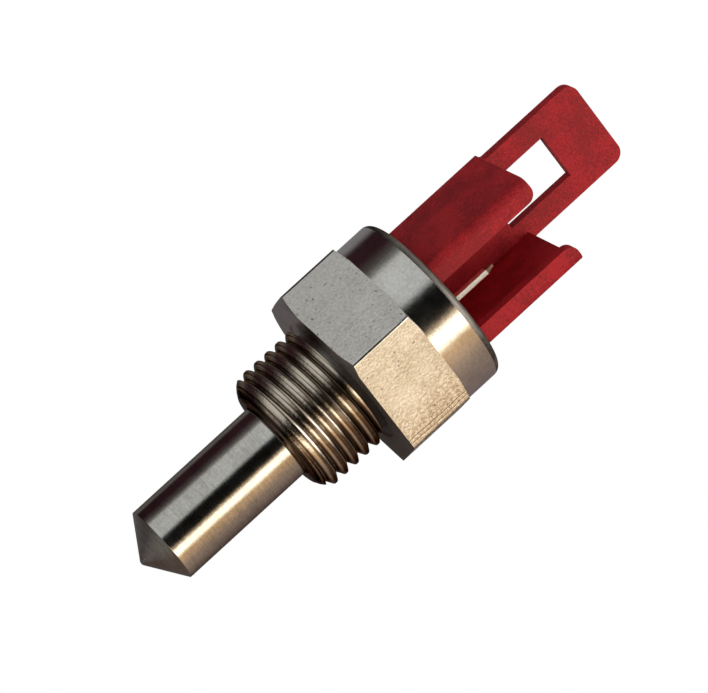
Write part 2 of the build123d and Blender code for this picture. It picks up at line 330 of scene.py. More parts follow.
add_node(tent, "ShaderNodeOutputWorld", inputs={"Surface": (both, 0)})
bpy.context.scene.view_settings.view_transform = "Standard"
print("tent stops:", len(wall.color_ramp.elements))

# %% [markdown]
# ## Floor
# A wide, pale table top lies under the part, low enough that the camera, which looks up a little, sees only
# the white sheet behind. It is a plane with a faint paper grain. It lights the part softly from below, but
# the metal mirrors the tent instead, whose bands go on downwards, so that the thread's flanks show them too.

# %% Floor
floor_z = -85
floor_size = 8000
bpy.ops.mesh.primitive_plane_add(size=floor_size * MM, location=(0, 0, floor_z * MM))
floor = bpy.context.object
floor.name = "floor"
paper, tree = new_finish("pale_paper")
grain = add_node(tree, "ShaderNodeTexNoise", inputs={"Scale": 40.0, "Detail": 4.0})
tone = add_node(tree, "ShaderNodeValToRGB", inputs={"Fac": (grain, "Fac")})
set_ramp(tone, [(0.3, colour("dcdbd8")), (0.7, colour("e4e3e0"))])
sheet = add_node(
    tree, "ShaderNodeBsdfPrincipled", inputs={"Base Color": (tone, "Color"), "Roughness": 0.8}
)
add_node(tree, "ShaderNodeOutputMaterial", inputs={"Surface": (sheet, 0)})
floor.data.materials.append(paper)
floor.visible_glossy = False
print("floor at", floor_z, "mm")

# %% [markdown]
# ## Nickel plate on brass
# The brass body is turned from hexagon bar and then nickel plated. Nickel is a warm grey metal, and the brass
# below shows through as a yellow cast where the plate is thin. The lathe leaves fine rings round turned
# faces, the drawn flats of the bar are pitted, and the plate carries stains. One function makes each of these
# finishes from the same recipe: colour patches, smudges in the roughness, and a bump from rings and pits
# whose sizes are real ones. Darker copies of the plate are painted shade on the tip, the seat and the rolled
# lip, and the seat also gets a dull dark coat on one side, more painted shade.


# %% Nickel plate
deep_bearing = math.radians(-25.4)
deep_side = (math.cos(deep_bearing), math.sin(deep_bearing), 0.0)
shade_patch_mm = 4.0
shade_start_mm = -1.0
shade_full_mm = 4.0


def nickel_plate(
    name, light, dark, rough, grain_mm, grain_depth, streaks, streak_depth, edge="ffffff", shade_coat=None
):
    """Plated brass: two tones, a mean roughness, a grain of a real size, and the lathe's broken rings.
    The edge colour is what it reflects at a grazing angle. A dull dark coat painted in patches on the deep
    side is painted shade."""
    material, tree = new_finish(name)
    spot = add_node(tree, "ShaderNodeTexCoord")
    patches = add_node(
        tree,
        "ShaderNodeTexNoise",
        inputs={"Vector": (spot, "Object"), "Scale": 1 / (2.0 * MM), "Detail": 5.0, "Roughness": 0.6},
    )
    speck = add_node(
        tree,
        "ShaderNodeTexNoise",
        inputs={"Vector": (spot, "Object"), "Scale": 1 / (grain_mm * MM), "Detail": 3.0, "Roughness": 0.6},
    )
    # a streak is 1.4 mm long round the axis and 0.13 mm wide, drawn wider than a real tool mark to show
    squeeze = add_node(
        tree,
        "ShaderNodeMapping",
        inputs={"Vector": (spot, "Object"), "Scale": (1 / (1.4 * MM), 1 / (1.4 * MM), 1 / (0.13 * MM))},
    )
    streak = add_node(
        tree, "ShaderNodeTexNoise", inputs={"Vector": (squeeze, "Vector"), "Scale": 1.0, "Detail": 3.0}
    )
    marks = add_node(
        tree,
        "ShaderNodeMix",
        {"data_type": "FLOAT"},
        {"Factor": streaks, 2: (speck, "Fac"), 3: (streak, "Fac")},
    )
    blend = add_node(
        tree, "ShaderNodeMix", {"data_type": "FLOAT"}, {"Factor": 0.6, 2: (patches, "Fac"), 3: (marks, 0)}
    )
    tone = add_node(tree, "ShaderNodeValToRGB", inputs={"Fac": (blend, 0)})
    set_ramp(tone, [(0.4, colour(dark)), (0.6, colour(light))])
    smudge = add_node(
        tree,
        "ShaderNodeMapRange",
        inputs={
            "Value": (patches, "Fac"),
            "From Min": 0.3,
            "From Max": 0.7,
            "To Min": rough * 0.8,
            "To Max": rough * 1.25,
        },
    )
    grain = add_node(
        tree,
        "ShaderNodeBump",
        inputs={"Height": (speck, "Fac"), "Strength": 1.0, "Distance": grain_depth * MM},
    )
    rings = add_node(
        tree,
        "ShaderNodeBump",
        inputs={
            "Height": (streak, "Fac"),
            "Strength": 1.0,
            "Distance": streak_depth * MM,
            "Normal": (grain, "Normal"),
        },
    )
    metal = add_node(
        tree,
        "ShaderNodeBsdfPrincipled",
        inputs={
            "Base Color": (tone, "Color"),
            "Metallic": 1.0,
            "Roughness": (smudge, "Result"),
            "Specular Tint": colour(edge),
            "Normal": (rings, "Normal"),
        },
    )
    # painted shade: a dull dark coat that is not metal, laid in patches on the deep side
    if shade_coat:
        across = add_node(
            tree, "ShaderNodeVectorMath", {"operation": "DOT_PRODUCT"}, {0: (spot, "Object"), 1: deep_side}
        )
        patchy = add_node(
            tree,
            "ShaderNodeMath",
            {"operation": "MULTIPLY_ADD"},
            {0: (patches, "Fac"), 1: shade_patch_mm * MM, 2: (across, "Value")},
        )
        unshaded = add_node(
            tree,
            "ShaderNodeMapRange",
            {"interpolation_type": "SMOOTHSTEP"},
            {
                "Value": (patchy, "Value"),
                "From Min": shade_start_mm * MM,
                "From Max": shade_full_mm * MM,
                "To Min": 1.0,
                "To Max": 0.15,
            },
        )
        shaded_tone = add_node(
            tree,
            "ShaderNodeMix",
            {"data_type": "RGBA"},
            {"Factor": (unshaded, "Result"), 6: colour(shade_coat), 7: (tone, "Color")},
        )
        tree.links.new(shaded_tone.outputs[2], metal.inputs["Base Color"])
        tree.links.new(unshaded.outputs["Result"], metal.inputs["Metallic"])
        metal.inputs["Specular IOR Level"].default_value = 0.0
    add_node(tree, "ShaderNodeOutputMaterial", inputs={"Surface": (metal, 0)})
    return material


turned_plate = nickel_plate("nickel_plate_turned", "e0ddd6", "c7c3bb", 0.14, 0.2, 0.003, 0.25, 0.003)
well_plate = nickel_plate("nickel_plate_well", "d6d2ca", "b4afa5", 0.14, 0.2, 0.003, 0.5, 0.006, "a8a29a")
# the tip's darker tones are painted shade on the downward cone
tip_plate = nickel_plate("nickel_plate_tip", "9c958c", "7d766d", 0.33, 0.2, 0.004, 0.5, 0.003)
# the seat's darker tones and its dull dark coat are painted shade under the hexagon
seat_plate = nickel_plate(
    "nickel_plate_seat", "a29c95", "857f78", 0.3, 0.2, 0.003, 0.5, 0.003, shade_coat="33261f"
)
# the rolled lip's darker tones are painted shade that dims its highlight; its higher roughness is its dull
# finish
crimp_plate = nickel_plate(
    "nickel_plate_crimped", "8b847b", "6b655e", 0.45, 0.13, 0.006, 0.4, 0.004, "8b847b"
)
print("plated finishes:", [m.name for m in bpy.data.materials if m.name.startswith("nickel")])

# %% [markdown]
# The flats are the drawn bar's own skin, not turned, so they are grained like orange peel, with small pits.
# One of them also has two drawing scratches beside its edge. They are two thin lines at a set distance from
# the middle of that flat, bent a little by a noise, and they are cut into the bump. The pits and scratch
# lines are painted a darker brown, painted shade, and that flat turns browner in the dips of its orange
# peel towards its scratched edge, more painted shade.

# %% Plate on the flats
flat_plate, tree = new_finish("nickel_plate_drawn_flat")
spot = add_node(tree, "ShaderNodeTexCoord")
cast = add_node(
    tree,
    "ShaderNodeTexNoise",
    inputs={"Vector": (spot, "Object"), "Scale": 1 / (2.5 * MM), "Detail": 4.0, "Roughness": 0.6},
)
peel = add_node(
    tree,
    "ShaderNodeTexNoise",
    inputs={"Vector": (spot, "Object"), "Scale": 1 / (0.2 * MM), "Detail": 3.0, "Roughness": 0.6},
)
pits = add_node(
    tree,
    "ShaderNodeTexNoise",
    inputs={"Vector": (spot, "Object"), "Scale": 1 / (0.24 * MM), "Detail": 2.0, "Roughness": 0.5},
)
pit = add_node(
    tree,
    "ShaderNodeMapRange",
    {"interpolation_type": "SMOOTHSTEP"},
    {"Value": (pits, "Fac"), "From Min": 0.25, "From Max": 0.33},
)
along_flat = add_node(
    tree,
    "ShaderNodeMapping",
    inputs={"Vector": (spot, "Object"), "Rotation": (0.0, 0.0, math.radians(-hex_turn))},
)
across_flat = add_node(tree, "ShaderNodeSeparateXYZ", inputs={"Vector": (along_flat, 0)})
waver = add_node(
    tree,
    "ShaderNodeMath",
    {"operation": "MULTIPLY_ADD"},
    {0: (cast, "Fac"), 1: 0.35 * MM, 2: (across_flat, "X")},
)
scratch_middle = 3.68
scratch_half_gap = 0.15
scratch_half_width = 0.06
offset = add_node(
    tree, "ShaderNodeMath", {"operation": "SUBTRACT"}, {0: (waver, "Value"), 1: scratch_middle * MM}
)
away = add_node(tree, "ShaderNodeMath", {"operation": "ABSOLUTE"}, {0: (offset, "Value")})
offset = add_node(
    tree, "ShaderNodeMath", {"operation": "SUBTRACT"}, {0: (away, "Value"), 1: scratch_half_gap * MM}
)
away = add_node(tree, "ShaderNodeMath", {"operation": "ABSOLUTE"}, {0: (offset, "Value")})
scratch = add_node(
    tree,
    "ShaderNodeMapRange",
    {"interpolation_type": "SMOOTHSTEP"},
    {"Value": (away, "Value"), "From Max": scratch_half_width * MM},
)
front_flat_y = -5.0
sides = add_node(tree, "ShaderNodeSeparateXYZ", inputs={"Vector": (spot, "Object")})
elsewhere = add_node(
    tree, "ShaderNodeMath", {"operation": "GREATER_THAN"}, {0: (sides, "Y"), 1: front_flat_y * MM}
)
smooth_there = add_node(
    tree, "ShaderNodeMath", {"operation": "MAXIMUM"}, {0: (scratch, "Result"), 1: (elsewhere, "Value")}
)
height = add_node(
    tree, "ShaderNodeMath", {"operation": "MULTIPLY"}, {0: (smooth_there, "Value"), 1: (pit, "Result")}
)
coarse = add_node(
    tree, "ShaderNodeMapRange", inputs={"Value": (elsewhere, "Value"), "To Min": 1.1, "To Max": 0.35}
)
relief = add_node(
    tree,
    "ShaderNodeMath",
    {"operation": "MULTIPLY_ADD"},
    {0: (peel, "Fac"), 1: (coarse, "Result"), 2: (height, "Value")},
)
blend = add_node(
    tree, "ShaderNodeMix", {"data_type": "FLOAT"}, {"Factor": 0.55, 2: (cast, "Fac"), 3: (peel, "Fac")}
)
tone = add_node(tree, "ShaderNodeValToRGB", inputs={"Fac": (blend, 0)})
set_ramp(tone, [(0.38, colour("c4c0b8")), (0.52, colour("d8d5ce")), (0.62, colour("e4e1db"))])
# pits and scratch lines are painted a darker brown: painted shade in these dips
pit_shade = add_node(
    tree,
    "ShaderNodeMix",
    {"data_type": "RGBA"},
    {"Factor": (height, "Value"), 6: colour("93836f"), 7: (tone, "Color")},
)
# the front flat turns browner in the dips of its orange peel, more towards its scratched edge: painted shade
toward_scratches = add_node(
    tree,
    "ShaderNodeMapRange",
    inputs={"Value": (across_flat, "X"), "From Min": 0.3 * MM, "From Max": 3.4 * MM, "To Max": 1.0},
)
peel_shade = add_node(
    tree,
    "ShaderNodeMapRange",
    inputs={"Value": (peel, "Fac"), "From Min": 0.58, "From Max": 0.42, "To Max": 0.6},
)
patches = add_node(
    tree,
    "ShaderNodeMath",
    {"operation": "MULTIPLY"},
    {0: (toward_scratches, "Result"), 1: (peel_shade, "Result")},
)
on_front = add_node(
    tree, "ShaderNodeMath", {"operation": "SUBTRACT"}, {0: (patches, "Value"), 1: (elsewhere, "Value")}
)
shaded_flat_tone = add_node(
    tree,
    "ShaderNodeMix",
    {"data_type": "RGBA"},
    {"Factor": (on_front, "Value"), 6: (pit_shade, 2), 7: colour("9c8468")},
)
skin = add_node(
    tree, "ShaderNodeBump", inputs={"Height": (relief, "Value"), "Strength": 1.0, "Distance": 0.009 * MM}
)
sheen = add_node(
    tree,
    "ShaderNodeMapRange",
    inputs={"Value": (cast, "Fac"), "From Min": 0.3, "From Max": 0.7, "To Min": 0.17, "To Max": 0.24},
)
metal = add_node(
    tree,
    "ShaderNodeBsdfPrincipled",
    inputs={
        "Base Color": (shaded_flat_tone, 2),
        "Metallic": 1.0,
        "Roughness": (sheen, "Result"),
        "Normal": (skin, "Normal"),
    },
)
add_node(tree, "ShaderNodeOutputMaterial", inputs={"Surface": (metal, 0)})
print("flat finish:", flat_plate.name)

# %% [markdown]
# The thread is plated too. Its tone follows the distance from the axis: painted shade in the roots and a
# painted highlight on the crests. The die that cut it also left fine ridges along the flanks, drawn in the
# bump and in the tone as painted highlights on top and painted shade between. They run with the thread, so
# they are a noise stretched along it: quick across the radius, slow round. The plating has filled the
# corners, so the flanks look rounder than they were cut: the bump eases them outwards.

# %% Plate on the thread
thread_plate, tree = new_finish("nickel_plate_thread")
# drawn a little coarser than real ones, so that they show
ridge_mm = 0.12
ridge_length_mm = 9.0
spot = add_node(tree, "ShaderNodeTexCoord")
flattened = add_node(
    tree, "ShaderNodeVectorMath", {"operation": "MULTIPLY"}, {0: (spot, "Object"), 1: (1.0, 1.0, 0.0)}
)
from_axis = add_node(tree, "ShaderNodeVectorMath", {"operation": "LENGTH"}, {0: (flattened, "Vector")})
quick = add_node(
    tree, "ShaderNodeMath", {"operation": "MULTIPLY"}, {0: (from_axis, "Value"), 1: 1 / (ridge_mm * MM)}
)
outward_step = add_node(tree, "ShaderNodeCombineXYZ", inputs={"Z": (quick, "Value")})
slow = 1 / (ridge_length_mm * MM)
stretched = add_node(
    tree,
    "ShaderNodeVectorMath",
    {"operation": "MULTIPLY_ADD"},
    {0: (spot, "Object"), 1: (slow, slow, slow), 2: (outward_step, "Vector")},
)
ridges = add_node(
    tree, "ShaderNodeTexNoise", inputs={"Vector": (stretched, "Vector"), "Scale": 1.0, "Detail": 1.0}
)
mottle = add_node(
    tree,
    "ShaderNodeTexNoise",
    inputs={"Vector": (spot, "Object"), "Scale": 1 / (0.3 * MM), "Detail": 4.0, "Roughness": 0.65},
)
climb = add_node(
    tree,
    "ShaderNodeMapRange",
    inputs={
        "Value": (from_axis, "Value"),
        "From Min": (thread_radius - thread_depth) * MM,
        "From Max": thread_radius * MM,
    },
)
lines = add_node(
    tree, "ShaderNodeMapRange", inputs={"Value": (ridges, "Fac"), "From Min": 0.38, "From Max": 0.6}
)
lined = add_node(
    tree,
    "ShaderNodeMix",
    {"data_type": "FLOAT"},
    {"Factor": 0.55, 2: (climb, "Result"), 3: (lines, "Result")},
)
uneven = add_node(
    tree, "ShaderNodeMath", {"operation": "MULTIPLY_ADD"}, {0: (mottle, "Fac"), 1: 0.4, 2: (lined, 0)}
)
share = add_node(
    tree, "ShaderNodeMapRange", inputs={"Value": (uneven, "Value"), "From Min": 0.2, "From Max": 1.15}
)
# the tone is painted shade in the roots and painted highlights on the crests and the flank lines
tone = add_node(tree, "ShaderNodeValToRGB", inputs={"Fac": (share, "Result")})
set_ramp(tone, [(0.08, colour("33271f")), (0.5, colour("6e5c4c")), (0.9, colour("dccfbc"))])
easing = -0.62
ridge_height = 0.03
pit_height = 0.025
eased = add_node(
    tree, "ShaderNodeMath", {"operation": "MULTIPLY"}, {0: (from_axis, "Value"), 1: easing / MM}
)
ridged = add_node(
    tree,
    "ShaderNodeMath",
    {"operation": "MULTIPLY_ADD"},
    {0: (ridges, "Fac"), 1: ridge_height, 2: (eased, "Value")},
)
pitted = add_node(
    tree,
    "ShaderNodeMath",
    {"operation": "MULTIPLY_ADD"},
    {0: (mottle, "Fac"), 1: pit_height, 2: (ridged, "Value")},
)
worked = add_node(
    tree, "ShaderNodeBump", inputs={"Height": (pitted, "Value"), "Strength": 1.0, "Distance": MM}
)
wear = add_node(
    tree, "ShaderNodeMapRange", inputs={"Value": (mottle, "Fac"), "To Min": 0.16, "To Max": 0.32}
)
metal = add_node(
    tree,
    "ShaderNodeBsdfPrincipled",
    inputs={
        "Base Color": (tone, "Color"),
        "Metallic": 1.0,
        "Roughness": (wear, "Result"),
        "Specular Tint": colour("8a7c70"),
        "Normal": (worked, "Normal"),
    },
)
add_node(tree, "ShaderNodeOutputMaterial", inputs={"Surface": (metal, 0)})
print("thread finish:", thread_plate.name)

# %% [markdown]
# ## Turning on a lathe
# Most of the body is turned. A lathe shape is easy by hand: add a disc, then again and again extrude it along
# the axis and scale the new ring to the next radius. The function below does that for a list of radius and
# height pairs, and a second one gives the points of a rounded corner, so that no edge is dead sharp.


# %% Turned shapes
def deselect_all():
    """Leaves nothing selected, because an operator acts on everything that is."""
    bpy.ops.object.select_all(action="DESELECT")


def edit_only(piece, kind, wanted):
    """Opens a piece in edit mode with only its wanted edges or faces selected."""
    bpy.ops.object.mode_set(mode="EDIT")
    bpy.ops.mesh.select_mode(type=kind)
    bpy.ops.mesh.select_all(action="DESELECT")
    bpy.ops.object.mode_set(mode="OBJECT")
    for part in piece.data.edges if kind == "EDGE" else piece.data.polygons:
        part.select = wanted(part)
    bpy.ops.object.mode_set(mode="EDIT")


def round_corner(centre_r, centre_z, radius, start, end, steps=6):
    """Radius and height pairs on an arc, with its angles in degrees from the outward direction."""
    points = []
    for step in range(steps + 1):
        angle = math.radians(start + (end - start) * step / steps)
        points.append((centre_r + radius * math.cos(angle), centre_z + radius * math.sin(angle)))
    return points


def turned(name, profile, sides=192):
    """A solid of revolution about Z, from its radius and height pairs in millimetres."""
    deselect_all()
    radius, height = profile[0]
    bpy.ops.mesh.primitive_circle_add(
        vertices=sides, radius=radius * MM, fill_type="NGON", location=(0, 0, height * MM)
    )
    piece = bpy.context.object
    piece.name = name
    bpy.ops.object.transform_apply(location=True, rotation=True, scale=True)
    bpy.ops.object.mode_set(mode="EDIT")
    bpy.ops.mesh.select_all(action="SELECT")
    for next_radius, next_height in profile[1:]:
        rise_by = (next_height - height) * MM
        bpy.ops.mesh.extrude_region_move(TRANSFORM_OT_translate={"value": (0, 0, rise_by)})
        scale_by = next_radius / radius
        bpy.ops.transform.resize(value=(scale_by, scale_by, 1), center_override=(0, 0, next_height * MM))
        radius, height = next_radius, next_height
    bpy.ops.mesh.select_all(action="SELECT")
    bpy.ops.mesh.normals_make_consistent(inside=False)
    bpy.ops.object.mode_set(mode="OBJECT")
    return piece


def combine(piece, other, operation):
    """Joins, cuts or intersects a piece with another, which is then gone."""
    deselect_all()
    bpy.context.view_layer.objects.active = piece
    piece.select_set(True)
    bpy.ops.object.modifier_add(type="BOOLEAN")
    step = piece.modifiers[-1]
    step.object = other
    step.operation = operation
    step.solver = "EXACT"
    bpy.ops.object.modifier_apply(modifier=step.name)
    bpy.data.objects.remove(other)


def weld(piece, distance):
    """Merges points that cuts leave closer together than the distance in millimetres."""
    deselect_all()
    bpy.context.view_layer.objects.active = piece
    piece.select_set(True)
    bpy.ops.object.mode_set(mode="EDIT")
    bpy.ops.mesh.select_all(action="SELECT")
    bpy.ops.mesh.remove_doubles(threshold=distance * MM)
    bpy.ops.object.mode_set(mode="OBJECT")


def soften_edges(piece, width, angle=30, segments=2):
    """A narrow bevel on every edge that turns by more than the angle. Very short edges narrow it further."""
    deselect_all()
    bpy.context.view_layer.objects.active = piece
    piece.select_set(True)
    bpy.ops.object.modifier_add(type="BEVEL")
    step = piece.modifiers[-1]
    step.width = width * MM
    step.segments = segments
    step.limit_method = "ANGLE"
    step.angle_limit = math.radians(angle)
    step.miter_outer = "MITER_ARC"
    bpy.ops.object.modifier_apply(modifier=step.name)


def smooth(piece, angle=30):
    """Smooth shading that keeps real corners and leaves flat faces looking flat."""
    deselect_all()
    bpy.context.view_layer.objects.active = piece
    piece.select_set(True)
    bpy.ops.object.shade_smooth_by_angle(angle=math.radians(angle))
    bpy.ops.object.modifier_add(type="WEIGHTED_NORMAL")
    piece.modifiers[-1].keep_sharp = True
    bpy.ops.object.modifier_apply(modifier=piece.modifiers[-1].name)


weld_before_bevel = 0.01
weld_after_cuts = 0.001
tip_slope = 33.8
nose_radius = 0.4
root_fillet = 0.3
lead_in_radius = 4.05
lead_in_length = 0.95
edge_radius = 0.06
nose = round_corner(0, tip_z + nose_radius, nose_radius, -84, -90 + tip_slope)
lead_in = [
    (thread_radius - 0.62, thread_end_z + 0.22),
    (thread_radius - 0.32, thread_end_z + 0.47),
    (thread_radius - 0.1, thread_end_z + 0.74),
    (thread_radius, thread_end_z + lead_in_length),
]
outside = (
    nose
    + round_corner(probe_radius - edge_radius, cone_start_z + edge_radius / 2, edge_radius, -56, 0, 3)
    + round_corner(probe_radius + root_fillet, thread_end_z - root_fillet, -root_fillet, 0, -90)
    + round_corner(lead_in_radius - edge_radius, thread_end_z + edge_radius, edge_radius, -90, -45, 2)
    + lead_in
    + [
        (thread_radius, -relief_width - 0.02),
        (relief_radius + 0.05, -relief_width + 0.05),
        (relief_radius, -relief_width + 0.1),
        (relief_radius, hex_height / 2),
        (collar_radius, hex_height / 2),
    ]
    + round_corner(collar_radius - shoulder_radius, rim_z - shoulder_radius, shoulder_radius, 0, 90, 12)
    + [(1.0, rim_z)]
)
body = turned("plated_body", outside)
print("blank:", len(body.data.vertices), "points")

# %% [markdown]
# ## The hexagon
# The bar the body is turned from is a hexagon. Its corners are turned off where the lathe faced its two ends:
# lightly at the collar, and a little off centre at the seat, so that the cut is deeper on one side and fades
# out on the other. The quickest true way is the machinist's: a six-sided bar, and a turned envelope for each
# end that keeps only what is inside it. The bar's long edges are rounded as drawn, and a shallow undercut
# round the thread's relief lets a washer lie flat.

# %% Hexagon
corner_radius = across_flats / math.sqrt(3)
clear_radius = corner_radius + 1
spare = 1.0
bar_edge_radius = 0.3
recess_radius = 5.15
recess_depth = 0.12
seat_circle, seat_rise = 7.6, math.tan(math.radians(20))
top_circle, top_rise = 7.4, math.tan(math.radians(17))
seat_shift = Vector(deep_side) * 0.5

deselect_all()
bpy.ops.mesh.primitive_cylinder_add(
    vertices=6,
    radius=corner_radius * MM,
    depth=(hex_height + 2 * spare) * MM,
    location=(0, 0, hex_height / 2 * MM),
    rotation=(0, 0, math.radians(hex_turn - 30)),
)
hexagon = bpy.context.object
bpy.ops.object.transform_apply(location=True, rotation=True, scale=True)


def upright(edge):
    """Whether an edge of the bar runs along its length."""
    low, high = (hexagon.data.vertices[i].co for i in edge.vertices)
    return abs(low.z - high.z) > MM


edit_only(hexagon, "EDGE", upright)
bpy.ops.mesh.bevel(offset=bar_edge_radius * math.tan(math.radians(30)) * MM, segments=6)
bpy.ops.object.mode_set(mode="OBJECT")
seat_envelope = turned(
    "seat_envelope",
    [
        (1.0, 0),
        (seat_circle, 0),
        (clear_radius, (clear_radius - seat_circle) * seat_rise),
        (clear_radius, hex_height + 2 * spare),
    ],
)
seat_envelope.location = seat_shift * MM
top_envelope = turned(
    "top_envelope",
    [
        (clear_radius, -2 * spare),
        (clear_radius, hex_height - (clear_radius - top_circle) * top_rise),
        (top_circle, hex_height),
        (1.0, hex_height),
    ],
)
combine(hexagon, seat_envelope, "INTERSECT")
combine(hexagon, top_envelope, "INTERSECT")
recess = turned(
    "recess",
    [(1.0, -spare), (recess_radius + recess_depth, -spare), (recess_radius + recess_depth, 0)]
    + [(recess_radius, recess_depth), (1.0, recess_depth)],
)
combine(hexagon, recess, "DIFFERENCE")
weld(hexagon, weld_before_bevel)
soften_edges(hexagon, 0.06, angle=12)
combine(body, hexagon, "UNION")
print("with hexagon:", len(body.data.vertices), "points")

# %% [markdown]
# ## The thread
# A thread is a groove that climbs one pitch in each turn. The cutter is a small closed outline, narrow at the
# root, with flanks at 30 degrees that flare at the crest, because plated crests are rounded. The Screw
# modifier winds it round the axis, its two ends are filled, and it is cut out of the blank. It starts outside
# the lead-in and ends in the relief beside the hexagon, as a real threading tool does.

# %% Thread
flank = math.tan(math.radians(30))
root_half = 0.04
root_radius = thread_radius - thread_depth
groove_turns = 7
groove_end_z = -0.48
one_side = [
    (root_radius, 0.015),
    (root_radius + 0.02, root_half),
    (thread_radius - 0.07, root_half + (thread_depth - 0.07) * flank),
    (thread_radius - 0.025, root_half + thread_depth * flank),
    (thread_radius, root_half + thread_depth * flank + 0.04),
    (thread_radius + 0.06, 0.46),
]
outline = one_side + [(r, -h) for r, h in reversed(one_side)]
deselect_all()
bpy.ops.mesh.primitive_circle_add(vertices=len(outline), radius=MM, fill_type="NOTHING")
cutter = bpy.context.object
cutter.name = "thread_cutter"
for vertex, (r, h) in zip(cutter.data.vertices, outline):
    vertex.co = Vector((r, 0, groove_end_z - groove_turns * thread_pitch + h)) * MM
bpy.ops.object.modifier_add(type="SCREW")
winding = cutter.modifiers[-1]
winding.axis = "Z"
winding.screw_offset = thread_pitch * MM
winding.iterations = groove_turns
winding.steps = 96
winding.render_steps = 96
bpy.ops.object.modifier_apply(modifier=winding.name)
bpy.ops.object.mode_set(mode="EDIT")
bpy.ops.mesh.select_all(action="SELECT")
bpy.ops.mesh.remove_doubles(threshold=0.00001 * MM)
bpy.ops.mesh.fill_holes(sides=0)
bpy.ops.mesh.select_all(action="SELECT")
bpy.ops.mesh.normals_make_consistent(inside=False)
bpy.ops.object.mode_set(mode="OBJECT")
print("cutter:", len(cutter.data.vertices), "points")
combine(body, cutter, "DIFFERENCE")

# %% [markdown]
# ## The well
# The body is hollow: a blind bore to just behind the tip, a wider cavity for the resin, and a pocket for the
# plug's flange with the crimped lip over it. The hollow is turned as one solid and cut out.

# %% Hollow
bore_radius = 2.3
bore_tip_z, bore_cone_z = -17.98, -16.6
cavity_radius, cavity_floor_z = 4.75, 1.2
pocket_radius, pocket_floor_z = 6.35, 5.15
lip_radius, lip_thickness = 5.82, 0.5
hollow = turned(
    "hollow",
    [
        (0.05, bore_tip_z),
        (bore_radius, bore_cone_z),
        (bore_radius, cavity_floor_z),
        (cavity_radius, cavity_floor_z),
        (cavity_radius, pocket_floor_z),
        (pocket_radius, pocket_floor_z),
        (pocket_radius, rim_z - lip_thickness),
        (lip_radius, rim_z - lip_thickness),
        (lip_radius, rim_z - 0.12),
        (5.88, rim_z - 0.02),
        (6.0, rim_z + 0.1),
    ],
)
combine(body, hollow, "DIFFERENCE")
weld(body, weld_after_cuts)
smooth(body, 32)
print("finished body:", len(body.data.vertices), "points")

# %% [markdown]
# ## Plating each face
# The faces take their finish from how they were made and from the painted shade each one gets, so they are
# sorted by place: the cone, the thread, the seat, the drawn flats, the rolled lip, and everything else
# turned.

# %% Give each face its finish
finishes = (turned_plate, well_plate, flat_plate, thread_plate, tip_plate, seat_plate, crimp_plate)
for finish in finishes:
    body.data.materials.append(finish)
TURNED, WELL, FLAT, THREAD, TIP, SEAT, CRIMP = range(len(finishes))
flat_distance = across_flats / 2 - 0.12
thread_top_z = -0.3
seat_top_z = 0.7
recess_reach = recess_radius + 0.3
crimp_start_z = rim_z - shoulder_radius + 0.1
crimp_inner_radius = 5.7
for face in body.data.polygons:
    centre, normal = face.center / MM, face.normal
    radius = math.hypot(centre.x, centre.y)
    outward = centre.x * normal.x + centre.y * normal.y
    face.material_index = TURNED
    if centre.z < cone_start_z and normal.z < -0.5:
        face.material_index = TIP
    elif centre.z < thread_end_z - root_fillet:
        face.material_index = WELL
    elif centre.z < thread_top_z and radius > probe_radius + 0.01:
        face.material_index = THREAD
    elif centre.z < seat_top_z and (normal.z < -0.2 or radius < recess_reach) and radius > probe_radius:
        face.material_index = SEAT
    elif centre.z < hex_height + 0.01 and outward > flat_distance and abs(normal.z) < 0.1:
        face.material_index = FLAT
    elif centre.z > crimp_start_z and radius > crimp_inner_radius:
        face.material_index = CRIMP
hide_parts("sensor_body")
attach(body, "root")
print("faces:", len(body.data.polygons))

# %% [markdown]
# ## Red moulded plug
# The plug is a glass-filled polyamide moulding, dyed red. It has a satin skin, a faint speckle from the
# fibres, and it lets almost no light through. Its dark red comes from a strong dye, so the colour is deep and
# the sheen over it is pale.


# %% Red polyamide
def red_polyamide():
    """Dyed satin plastic: slightly uneven dye, fibre speckle in colour and bump, soft sheen."""
    material, tree = new_finish("red_polyamide")
    spot = add_node(tree, "ShaderNodeTexCoord")
    cloud = add_node(
        tree,
        "ShaderNodeTexNoise",
        inputs={"Vector": (spot, "Object"), "Scale": 1 / (3.0 * MM), "Detail": 4.0, "Roughness": 0.6},
    )
    fibre = add_node(
        tree,
        "ShaderNodeTexNoise",
        inputs={"Vector": (spot, "Object"), "Scale": 1 / (0.16 * MM), "Detail": 3.0, "Roughness": 0.6},
    )
    blend = add_node(
        tree, "ShaderNodeMix", {"data_type": "FLOAT"}, {"Factor": 0.5, 2: (cloud, "Fac"), 3: (fibre, "Fac")}
    )
    dye = add_node(tree, "ShaderNodeValToRGB", inputs={"Fac": (blend, 0)})
    set_ramp(dye, [(0.43, colour("8e1319")), (0.57, colour("b32027"))])
    satin = add_node(
        tree,
        "ShaderNodeMapRange",
        inputs={"Value": (cloud, "Fac"), "From Min": 0.3, "From Max": 0.7, "To Min": 0.52, "To Max": 0.68},
    )
    skin = add_node(
        tree,
        "ShaderNodeBump",
        inputs={"Height": (fibre, "Fac"), "Strength": 1.0, "Distance": 0.008 * MM},
    )
    plastic = add_node(
        tree,
        "ShaderNodeBsdfPrincipled",
        inputs={
            "Base Color": (dye, "Color"),
            "Roughness": (satin, "Result"),
            "IOR": 1.5,
            "Specular IOR Level": 0.24,
            "Normal": (skin, "Normal"),
        },
    )
    add_node(tree, "ShaderNodeOutputMaterial", inputs={"Surface": (plastic, 0)})
    return material


red_plastic = red_polyamide()
print("plug finish:", red_plastic.name)

# %% [markdown]
# ## The plug's shroud and latch loop
# In plan the shroud is a C that is open at the front, where the mating plug's rib goes. Its back wall carries
# on upwards as a loop whose window takes the mating plug's catch. Each is drawn as an outline and extruded,
# as a mould maker would pocket it. Their corners are softened a little, as moulded corners are, and they are
# joined with the round flange and spigot that the collar holds.


